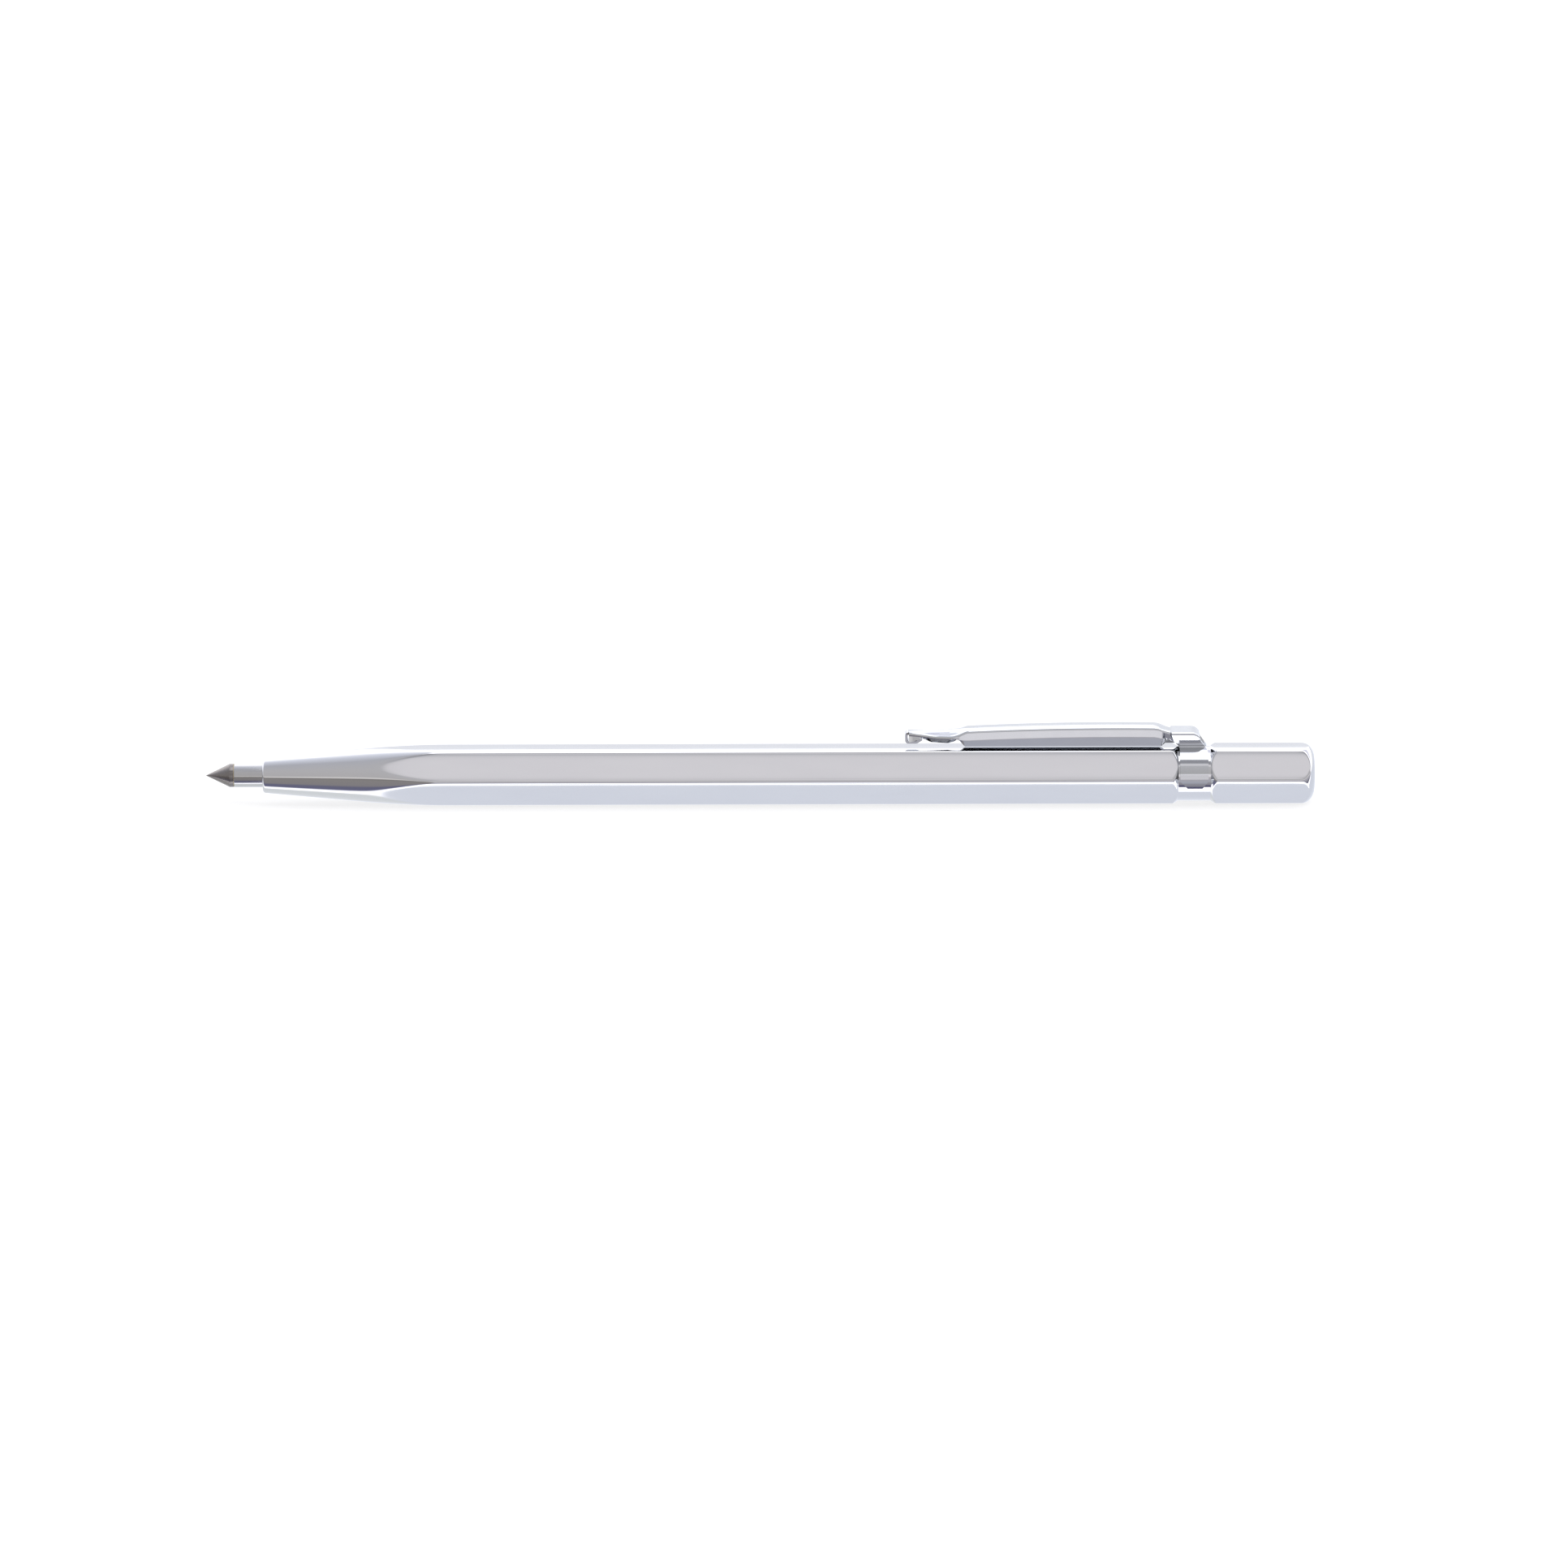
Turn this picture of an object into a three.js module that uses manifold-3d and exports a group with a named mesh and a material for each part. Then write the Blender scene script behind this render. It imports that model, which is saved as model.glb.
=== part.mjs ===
// A pocket scriber: a hexagonal bar turned to a tapered nose, a carbide-tipped point that pulls out
// of the nose, and a sprung pocket clip whose strap turns in a groove near the rear end.
// Millimetres. Inside the group X runs from the sharp tip at 0 to the rear end, and Z is the height
// above the barrel's own axis. The group then puts the middle of the bottom flat at the origin.

import * as THREE from "three";
import { mergeVertices } from "three/addons/utils/BufferGeometryUtils.js";
import Module from "manifold-3d";

const wasm = await Module();
wasm.setup();

// The whole tool
const LENGTH = 140;
const TURNED_SIDES = 48;

// Barrel: a hexagonal bar with a flat on top and a flat underneath
const ACROSS_FLATS = 7;
const EDGE_RADIUS = 0.4;
const CORNER_RADIUS = ACROSS_FLATS / Math.sqrt(3);
const CLEAR_OF_CORNERS = CORNER_RADIUS + 0.3;

// Nose: rounded lip, straight taper, then a long arc that runs out on the bar's corners
const NOSE_X = 7.2;
const NOSE_FACE_RADIUS = 1.9;
const NOSE_LIP = 0.35;
const TAPER_SLOPE = 0.09;
const TAPER_END_X = 20;
const OGIVE_RADIUS = 190;
const OGIVE_END_X = 33;

// Bore for the point: drilled from the nose, with the drill's cone at the bottom
const BORE_RADIUS = 1.55;
const BORE_END_X = 37.5;
const DRILL_CONE = 0.9;

// Groove for the clip's strap, with chamfered sides
const GROOVE_FLOOR_RADIUS = 3.45;
const GROOVE_FRONT_X = 122.65;
const GROOVE_REAR_X = 126.75;
const GROOVE_CHAMFER = 0.75;

// Rear end: a rounded corner that meets a slightly crowned face
const REAR_CORNER_RADIUS = 2;
const REAR_CORNER_OUTER = 4;
const REAR_CROWN_RADIUS = 25;

// Point: a ground steel shank with a socket at the front and a ring groove half way along
const SHANK_RADIUS = 1.5;
const SHANK_FRONT_X = 3.6;
const SHANK_REAR_X = 29.2;
const SHANK_CHAMFER = 0.3;
const SOCKET_RADIUS = 0.86;
const SOCKET_END_X = 6.6;
const RING_GROOVE_X = 17.2;
const RING_GROOVE_WIDTH = 1;
const RING_GROOVE_RADIUS = 1.06;

// Carbide: a ground cone, a short land and a tang that is brazed into the shank's socket
const CONE_LENGTH = 3;
const CARBIDE_RADIUS = 1.475;
const CARBIDE_REAR_X = 3.48;
const TANG_RADIUS = 0.75;
const TANG_END_X = 6.4;

// Braze: the film between the carbide and the shank
const BRAZE_GAP = 0.02;
const BRAZE_SLEEVE_RADIUS = 0.83;

// Grip ring: a split flat spring ring that presses on the bore
const RING_OUTER_RADIUS = 1.53;
const RING_INNER_RADIUS = 1.12;
const RING_WIDTH = 0.8;
const RING_SPLIT = THREE.MathUtils.degToRad(50);

// Clip: one stamping of spring steel, in two nodes that part at the root bend
const SHEET = 0.4;
const CHANNEL_HALF_WIDTH = 1.7;
const CLIP_CROWN_X = 114.5;
const CLIP_CROWN_Z = 6.16;
const CLIP_CROWN_RADIUS = 400;
const ARM_REAR_X = 121.5;
const ROOT_DROP_X = 119.6;
const ROOT_DROP = 0.3;
const NECK_X = 96.6;
const FLANGE_BOTTOM_Z = 4.05;
const FLANGE_REAR_X = 120.9;
const FLANGE_CORNER = 0.8;
const FLANGE_POINT_X = 95;
const FREE_END_X = 88.27;
const NECK_HALF_WIDTH = 1.75;
const FREE_END_HALF_WIDTH = 0.8;
const TIP_BEND_RADIUS = 0.4;
const FOOT_BEND_RADIUS = 0.3;
const FOOT_Z = 4.36;

const STRAP_TOP_Z = 5.52;
const STRAP_HALF_WIDTH = 1.85;
const STRAP_FRONT_X = 122.85;
const STRAP_REAR_X = 126.55;
const STRAP_INNER_RADIUS = 3.53;
const STRAP_WRAP = THREE.MathUtils.degToRad(-15);
const STRAP_SHOULDER_RADIUS = 0.45;
const STRAP_TAB_RADIUS = 1;
const STRAP_LEAN = 1.05;
const LEAN_FROM_Z = 3.6;
const LEAN_TO_Z = 4.8;

function steel(color, roughness, metalness = 1) {
  return new THREE.MeshStandardMaterial({ color, roughness, metalness });
}

const brightPlate = steel(0xd6d8de, 0.14);
const springSteel = steel(0xcfd4da, 0.18);
const groundSteel = steel(0xc8c8ca, 0.26);
const carbide = steel(0x6f6a68, 0.42);
const brazeAlloy = steel(0xb49a63, 0.38);

// A closed geometry as a solid that can be joined and cut.
function solid(geometry) {
  geometry.deleteAttribute("normal");
  geometry.deleteAttribute("uv");
  const merged = mergeVertices(geometry, 1e-5);
  const corners = merged.index.array;
  const triangles = [];
  for (let i = 0; i < corners.length; i += 3) {
    const [a, b, c] = corners.slice(i, i + 3);
    if (a !== b && b !== c && c !== a) {
      triangles.push(a, b, c);
    }
  }
  const mesh = new wasm.Mesh({
    numProp: 3,
    vertProperties: new Float32Array(merged.attributes.position.array),
    triVerts: new Uint32Array(triangles),
  });
  return new wasm.Manifold(mesh);
}

function geometryOf(manifold) {
  const mesh = manifold.getMesh();
  const geometry = new THREE.BufferGeometry();
  geometry.setAttribute("position", new THREE.BufferAttribute(mesh.vertProperties, 3));
  geometry.setIndex(new THREE.BufferAttribute(mesh.triVerts, 1));
  return geometry;
}

function part(name, manifold, material) {
  const mesh = new THREE.Mesh(geometryOf(manifold), material);
  mesh.name = name;
  return mesh;
}

function point(x, y) {
  return new THREE.Vector2(x, y);
}

// Points along an arc about (x, y), in degrees, both ends included.
function arc(x, y, radius, from, to, steps) {
  const points = [];
  for (let i = 0; i <= steps; i += 1) {
    const angle = THREE.MathUtils.degToRad(from + ((to - from) * i) / steps);
    points.push(point(x + radius * Math.cos(angle), y + radius * Math.sin(angle)));
  }
  return points;
}

// Turns a profile of (x along the axis, radius) points about the X axis.
function turned(profile, sides = TURNED_SIDES) {
  const radiusFirst = profile.map((p) => point(p.y, p.x));
  const geometry = new THREE.LatheGeometry(radiusFirst, sides);
  geometry.rotateZ(-Math.PI / 2);
  return solid(geometry);
}

function extruded(outline, depth) {
  return new THREE.ExtrudeGeometry(new THREE.Shape(outline), { depth, bevelEnabled: false });
}

// A section drawn in (y, z), pushed along X.
function sectionAlongX(outline, fromX, toX) {
  const geometry = extruded(outline, toX - fromX);
  const turn = new THREE.Matrix4().makeBasis(
    new THREE.Vector3(0, 1, 0),
    new THREE.Vector3(0, 0, 1),
    new THREE.Vector3(1, 0, 0),
  );
  geometry.applyMatrix4(turn);
  geometry.translate(fromX, 0, 0);
  return solid(geometry);
}

// A side view drawn in (x, z), pushed along Y.
function sideAlongY(outline, fromY, toY) {
  const geometry = extruded(outline, toY - fromY);
  geometry.rotateX(Math.PI / 2);
  geometry.translate(0, toY, 0);
  return solid(geometry);
}

// A plan drawn in (x, y), pushed along Z.
function planAlongZ(outline, fromZ, toZ) {
  const geometry = extruded(outline, toZ - fromZ);
  geometry.translate(0, 0, fromZ);
  return solid(geometry);
}

// The closed outline of a sheet of even thickness that follows a line.
function sheetOutline(line, thickness) {
  const left = [];
  const right = [];
  line.forEach((here, i) => {
    const before = line[Math.max(i - 1, 0)];
    const after = line[Math.min(i + 1, line.length - 1)];
    const along = after.clone().sub(before).normalize();
    const across = point(-along.y, along.x).multiplyScalar(thickness / 2);
    left.push(here.clone().add(across));
    right.push(here.clone().sub(across));
  });
  return [...left, ...right.reverse()];
}

// The bar's section: a hexagon with its six edges rounded.
function hexagonSection() {
  const outline = [];
  const edgeCentre = CORNER_RADIUS - EDGE_RADIUS / Math.cos(Math.PI / 6);
  for (let corner = 0; corner < 6; corner += 1) {
    const degrees = corner * 60;
    const angle = THREE.MathUtils.degToRad(degrees);
    const y = edgeCentre * Math.cos(angle);
    const z = edgeCentre * Math.sin(angle);
    outline.push(...arc(y, z, EDGE_RADIUS, degrees - 30, degrees + 30, 4));
  }
  return outline;
}

function noseProfile() {
  const lipRadius = NOSE_FACE_RADIUS + NOSE_LIP;
  const taperStartX = NOSE_X + NOSE_LIP;
  const taperEndRadius = lipRadius + (TAPER_END_X - taperStartX) * TAPER_SLOPE;
  const slope = Math.atan(TAPER_SLOPE);
  const centreX = TAPER_END_X + OGIVE_RADIUS * Math.sin(slope);
  const centreRadius = taperEndRadius - OGIVE_RADIUS * Math.cos(slope);
  const startDegrees = 90 + THREE.MathUtils.radToDeg(slope);
  const endDegrees = THREE.MathUtils.radToDeg(Math.acos((OGIVE_END_X - centreX) / OGIVE_RADIUS));
  return [
    point(NOSE_X, 0),
    ...arc(taperStartX, NOSE_FACE_RADIUS, NOSE_LIP, 180, 95, 4),
    ...arc(centreX, centreRadius, OGIVE_RADIUS, startDegrees, endDegrees, 9),
  ];
}

function rearProfile() {
  const cornerCentre = REAR_CORNER_OUTER - REAR_CORNER_RADIUS;
  const centreGap = REAR_CROWN_RADIUS - REAR_CORNER_RADIUS;
  const crownCentreX = LENGTH - REAR_CROWN_RADIUS;
  const cornerX = crownCentreX + Math.sqrt(centreGap ** 2 - cornerCentre ** 2);
  const joinDegrees = THREE.MathUtils.radToDeg(Math.asin(cornerCentre / centreGap));
  return [
    ...arc(cornerX, cornerCentre, REAR_CORNER_RADIUS, 90, joinDegrees, 7),
    ...arc(crownCentreX, 0, REAR_CROWN_RADIUS, joinDegrees / 2, 0, 1),
  ];
}

function makeBarrel() {
  const clear = CLEAR_OF_CORNERS;
  const turnedShape = turned([
    ...noseProfile(),
    point(OGIVE_END_X + 0.5, clear),
    point(GROOVE_FRONT_X - GROOVE_CHAMFER - 0.3, clear),
    point(GROOVE_FRONT_X - GROOVE_CHAMFER, CORNER_RADIUS),
    point(GROOVE_FRONT_X, GROOVE_FLOOR_RADIUS),
    point(GROOVE_REAR_X, GROOVE_FLOOR_RADIUS),
    point(GROOVE_REAR_X + GROOVE_CHAMFER, CORNER_RADIUS),
    point(GROOVE_REAR_X + GROOVE_CHAMFER + 0.3, clear),
    point(LENGTH - REAR_CORNER_RADIUS - 0.6, clear),
    ...rearProfile(),
  ]);
  const bore = turned([
    point(NOSE_X - 1, 0),
    point(NOSE_X - 1, BORE_RADIUS),
    point(BORE_END_X, BORE_RADIUS),
    point(BORE_END_X + DRILL_CONE, 0),
  ]);
  const bar = sectionAlongX(hexagonSection(), NOSE_X - 1, LENGTH + 1);
  return part("barrel", bar.intersect(turnedShape).subtract(bore), brightPlate);
}

function makeShank() {
  const grooveFront = RING_GROOVE_X - RING_GROOVE_WIDTH / 2;
  const grooveRear = RING_GROOVE_X + RING_GROOVE_WIDTH / 2;
  const shank = turned([
    point(SOCKET_END_X, 0),
    point(SOCKET_END_X, SOCKET_RADIUS),
    point(SHANK_FRONT_X, SOCKET_RADIUS),
    point(SHANK_FRONT_X, SHANK_RADIUS),
    point(grooveFront, SHANK_RADIUS),
    point(grooveFront, RING_GROOVE_RADIUS),
    point(grooveRear, RING_GROOVE_RADIUS),
    point(grooveRear, SHANK_RADIUS),
    point(SHANK_REAR_X - SHANK_CHAMFER, SHANK_RADIUS),
    point(SHANK_REAR_X, SHANK_RADIUS - SHANK_CHAMFER),
    point(SHANK_REAR_X, 0),
  ]);
  return part("point_shank", shank, groundSteel);
}

function makeCarbide() {
  const cone = turned([
    point(0, 0),
    point(CONE_LENGTH, CARBIDE_RADIUS),
    point(CARBIDE_REAR_X, CARBIDE_RADIUS),
    point(CARBIDE_REAR_X, TANG_RADIUS),
    point(TANG_END_X, TANG_RADIUS),
    point(TANG_END_X, 0),
  ]);
  return part("carbide_tip", cone, carbide);
}

function makeBraze() {
  const inner = TANG_RADIUS + BRAZE_GAP;
  const faceX = CARBIDE_REAR_X + BRAZE_GAP;
  const backX = SHANK_FRONT_X - BRAZE_GAP;
  const film = turned([
    point(faceX, inner),
    point(faceX, CARBIDE_RADIUS),
    point(backX, CARBIDE_RADIUS),
    point(backX, BRAZE_SLEEVE_RADIUS),
    point(TANG_END_X, BRAZE_SLEEVE_RADIUS),
    point(TANG_END_X, inner),
    point(faceX, inner),
  ]);
  return part("braze_joint", film, brazeAlloy);
}

function makeGripRing() {
  const half = THREE.MathUtils.radToDeg(RING_SPLIT) / 2;
  const outline = [
    ...arc(0, 0, RING_OUTER_RADIUS, 90 + half, 450 - half, 30),
    ...arc(0, 0, RING_INNER_RADIUS, 450 - half, 90 + half, 30),
  ];
  const fromX = RING_GROOVE_X - RING_WIDTH / 2;
  return part("grip_ring", sectionAlongX(outline, fromX, fromX + RING_WIDTH), springSteel);
}

// Height of the middle of the clip's sheet along the arm.
function armHeight(x) {
  return CLIP_CROWN_Z - (x - CLIP_CROWN_X) ** 2 / (2 * CLIP_CROWN_RADIUS);
}

// The arm's sheet seen from the side: the drop to the strap, a long low arch, a dip at the neck, the
// flattened free end, then the bend down and the little foot that curls back under it.
function armLine() {
  const line = [point(ARM_REAR_X, armHeight(ARM_REAR_X) - ROOT_DROP)];
  const steps = 8;
  for (let i = 0; i <= steps; i += 1) {
    const x = ROOT_DROP_X + ((NECK_X - ROOT_DROP_X) * i) / steps;
    line.push(point(x, armHeight(x)));
  }
  const tipX = FREE_END_X + SHEET / 2 + TIP_BEND_RADIUS;
  const tipZ = armHeight(NECK_X) - 0.58;
  const footX = FREE_END_X + SHEET / 2 + FOOT_BEND_RADIUS;
  return [
    ...line,
    point(95.2, armHeight(NECK_X) - 0.14),
    point(92.4, armHeight(NECK_X) - 0.44),
    ...arc(tipX, tipZ - TIP_BEND_RADIUS, TIP_BEND_RADIUS, 90, 180, 4),
    ...arc(footX, FOOT_Z + FOOT_BEND_RADIUS, FOOT_BEND_RADIUS, 180, 270, 4),
    point(footX + 0.5, FOOT_Z + 0.06),
    point(footX + 1, FOOT_Z + 0.32),
  ];
}

function armPlan() {
  return [
    point(ARM_REAR_X + 1, -CHANNEL_HALF_WIDTH),
    point(ARM_REAR_X + 1, CHANNEL_HALF_WIDTH),
    point(NECK_X, CHANNEL_HALF_WIDTH),
    point(FLANGE_POINT_X, NECK_HALF_WIDTH),
    point(FREE_END_X + 1.5, FREE_END_HALF_WIDTH + 0.35),
    point(FREE_END_X - 1, FREE_END_HALF_WIDTH),
    point(FREE_END_X - 1, -FREE_END_HALF_WIDTH),
    point(FREE_END_X + 1.5, -FREE_END_HALF_WIDTH - 0.35),
    point(FLANGE_POINT_X, -NECK_HALF_WIDTH),
    point(NECK_X, -CHANNEL_HALF_WIDTH),
  ];
}

// One side wall of the channel: pointed where it dies out at the neck, rounded at the root.
function flangeOutline() {
  const top = [];
  const steps = 6;
  for (let i = 0; i <= steps; i += 1) {
    const x = ROOT_DROP_X + ((NECK_X - ROOT_DROP_X) * i) / steps;
    top.push(point(x, armHeight(x)));
  }
  const cornerX = FLANGE_REAR_X - FLANGE_CORNER;
  const cornerZ = FLANGE_BOTTOM_Z + FLANGE_CORNER;
  return [
    point(NECK_X - 0.3, FLANGE_BOTTOM_Z),
    ...arc(cornerX, cornerZ, FLANGE_CORNER, 270, 360, 4),
    point(FLANGE_REAR_X, armHeight(ROOT_DROP_X) - ROOT_DROP),
    ...top,
    point(FLANGE_POINT_X, armHeight(NECK_X) - 0.3),
    point(FLANGE_POINT_X + 0.15, armHeight(NECK_X) - 0.75),
  ];
}

function makeClipArm() {
  const sheet = sideAlongY(sheetOutline(armLine(), SHEET), -2 * SHEET - 1, 2 * SHEET + 1);
  const web = sheet.intersect(planAlongZ(armPlan(), 0, 2 * CLIP_CROWN_Z));
  const outer = CHANNEL_HALF_WIDTH;
  const inner = CHANNEL_HALF_WIDTH - SHEET;
  const left = sideAlongY(flangeOutline(), inner, outer);
  const right = sideAlongY(flangeOutline(), -outer, -inner);
  return part("clip_arm", web.add(left).add(right), springSteel);
}

// Half of the strap's line in (y, z), from the free edge beside the barrel up to the raised top.
function strapHalfLine() {
  const radius = STRAP_INNER_RADIUS + SHEET / 2;
  const wallY = STRAP_HALF_WIDTH - SHEET / 2;
  const topZ = STRAP_TOP_Z;
  const bend = STRAP_SHOULDER_RADIUS;
  const bendY = wallY + bend;
  const bendZ = Math.sqrt((radius + bend) ** 2 - bendY ** 2);
  const meetDegrees = THREE.MathUtils.radToDeg(Math.atan2(bendZ, bendY));
  const wrapDegrees = THREE.MathUtils.radToDeg(STRAP_WRAP);
  return [
    ...arc(0, 0, radius, wrapDegrees, meetDegrees, 16),
    ...arc(bendY, bendZ, bend, 180 + meetDegrees, 180, 4).slice(1),
    ...arc(wallY - bend, topZ - bend, bend, 0, 90, 4),
  ];
}

// The strap from the side: rounded tab corners below, and a top that leans forward to the arm.
function strapSideOutline() {
  const bottomZ = STRAP_INNER_RADIUS * Math.sin(STRAP_WRAP) - 0.1;
  const topZ = STRAP_TOP_Z + SHEET;
  const round = STRAP_TAB_RADIUS;
  return [
    ...arc(STRAP_FRONT_X + round, bottomZ + round, round, 180, 270, 5),
    ...arc(STRAP_REAR_X - round, bottomZ + round, round, 270, 360, 5),
    point(STRAP_REAR_X, LEAN_FROM_Z),
    point(STRAP_REAR_X - STRAP_LEAN, LEAN_TO_Z),
    ...arc(STRAP_REAR_X - STRAP_LEAN - round, topZ - round, round, 0, 90, 4),
    point(STRAP_FRONT_X - STRAP_LEAN, topZ),
    point(STRAP_FRONT_X - STRAP_LEAN, LEAN_TO_Z),
    point(STRAP_FRONT_X, LEAN_FROM_Z),
  ];
}

function makeClipBand() {
  const half = strapHalfLine();
  const otherHalf = half.map((p) => point(-p.x, p.y)).reverse();
  const section = sheetOutline([...half, ...otherHalf], SHEET);
  const strap = sectionAlongX(section, STRAP_FRONT_X - STRAP_LEAN, STRAP_REAR_X);
  const side = sideAlongY(strapSideOutline(), -2 * CORNER_RADIUS, 2 * CORNER_RADIUS);
  return part("clip_band", strap.intersect(side), springSteel);
}

const scriber = new THREE.Group();
scriber.add(
  makeBarrel(),
  makeShank(),
  makeCarbide(),
  makeBraze(),
  makeGripRing(),
  makeClipBand(),
  makeClipArm(),
);
scriber.position.set(-LENGTH / 2, 0, ACROSS_FLATS / 2);

export default scriber;
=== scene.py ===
import math

import bpy
from mathutils import Matrix, Vector


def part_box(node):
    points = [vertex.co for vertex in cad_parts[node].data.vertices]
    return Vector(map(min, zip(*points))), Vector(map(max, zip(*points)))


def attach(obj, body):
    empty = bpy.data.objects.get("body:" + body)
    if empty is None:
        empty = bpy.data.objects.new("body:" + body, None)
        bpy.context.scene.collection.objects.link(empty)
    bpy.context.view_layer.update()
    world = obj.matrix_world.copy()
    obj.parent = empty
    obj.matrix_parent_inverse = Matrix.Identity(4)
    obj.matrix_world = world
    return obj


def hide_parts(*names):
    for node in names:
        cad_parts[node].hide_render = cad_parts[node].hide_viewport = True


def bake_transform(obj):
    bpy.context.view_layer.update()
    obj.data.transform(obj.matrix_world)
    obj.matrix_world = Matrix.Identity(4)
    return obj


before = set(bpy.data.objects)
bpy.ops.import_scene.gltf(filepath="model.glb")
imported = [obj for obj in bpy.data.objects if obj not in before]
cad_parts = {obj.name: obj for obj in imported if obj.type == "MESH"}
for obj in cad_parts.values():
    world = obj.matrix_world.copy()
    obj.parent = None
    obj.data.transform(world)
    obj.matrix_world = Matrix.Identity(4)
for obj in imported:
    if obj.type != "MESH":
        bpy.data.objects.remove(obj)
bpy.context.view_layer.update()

# ------------------------------------------------------------------------------------------------
# Barrel. One length of 7 mm hexagonal aluminium bar, turned to a long nose, grooved for the clip
# and rounded at the rear. It is drilled for the point, buffed until its edges round over a little,
# and bright plated.

MM = 0.001
barrel_low, barrel_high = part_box("barrel")
TIP_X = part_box("carbide_tip")[0].x
AXIS_Z = (barrel_low.z + barrel_high.z) / 2
FLAT_RADIUS = (barrel_high.z - barrel_low.z) / 2
TOOL_LENGTH = (barrel_high.x - TIP_X) / MM


def arc(x, r, radius, start, end, steps):
    """Points on an arc about (x, r), in degrees, both ends included."""
    angles = [math.radians(start + (end - start) * i / steps) for i in range(steps + 1)]
    return [(x + radius * math.cos(a), r + radius * math.sin(a)) for a in angles]


def broken_corners(corners, steps=5):
    """A line through (x, r, radius) corners, each one rounded by its own radius."""
    line = [corners[0][:2]]
    for before, here, after in zip(corners, corners[1:], corners[2:]):
        at = Vector(here[:2])
        back = (Vector(before[:2]) - at).normalized()
        on = (Vector(after[:2]) - at).normalized()
        half = back.angle(on) / 2
        radius = here[2]
        if radius == 0 or half > math.radians(89.5):
            line.append(tuple(at))
            continue
        reach = radius / math.tan(half)
        first, last = at + back * reach, at + on * reach
        centre = at + (back + on).normalized() * (radius / math.sin(half))
        for i in range(steps + 1):
            spoke = (first - centre).lerp(last - centre, i / steps)
            line.append(tuple(centre + spoke.normalized() * radius))
    line.append(corners[-1][:2])
    return line


def spread(start, end, steps):
    """Evenly spaced numbers from start to end, both included."""
    return [start + (end - start) * i / steps for i in range(steps + 1)]


class Nodes:
    """Adds nodes to one node tree, of shaders or of geometry."""

    def __init__(self, tree):
        self.tree = tree

    def add(self, kind, settings=None, inputs=None):
        node = self.tree.nodes.new(kind)
        settings = dict(settings or {})
        stops = settings.pop("stops", None)
        for name, value in settings.items():
            setattr(node, name, value)
        if stops:
            ramp = node.color_ramp.elements
            while len(ramp) < len(stops):
                ramp.new(0.5)
            for stop, (place, colour) in zip(ramp, stops):
                stop.position = place
                stop.color = (*colour, 1)
        for name, value in (inputs or {}).items():
            if isinstance(value, Value):
                self.tree.links.new(value.socket, node.inputs[name])
            else:
                node.inputs[name].default_value = value
        return node

    def value(self, node, output=0):
        return Value(self, node.outputs[output])

    def math(self, operation, *terms):
        numbered = dict(enumerate(terms))
        return self.value(self.add("ShaderNodeMath", {"operation": operation}, numbered))


class Value:
    """A socket that takes part in sums written as Python expressions."""

    def __init__(self, nodes, socket):
        self.nodes = nodes
        self.socket = socket

    def __add__(self, other):
        return self.nodes.math("ADD", self, other)

    def __sub__(self, other):
        return self.nodes.math("SUBTRACT", self, other)

    def __mul__(self, other):
        return self.nodes.math("MULTIPLY", self, other)

    def __truediv__(self, other):
        return self.nodes.math("DIVIDE", self, other)

    def __radd__(self, other):
        return self.nodes.math("ADD", other, self)

    def __rsub__(self, other):
        return self.nodes.math("SUBTRACT", other, self)


HALF_SIDE = math.pi / 6
CORNER_CROWDING = 1.6
WELD_DISTANCE = 2e-7


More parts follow.
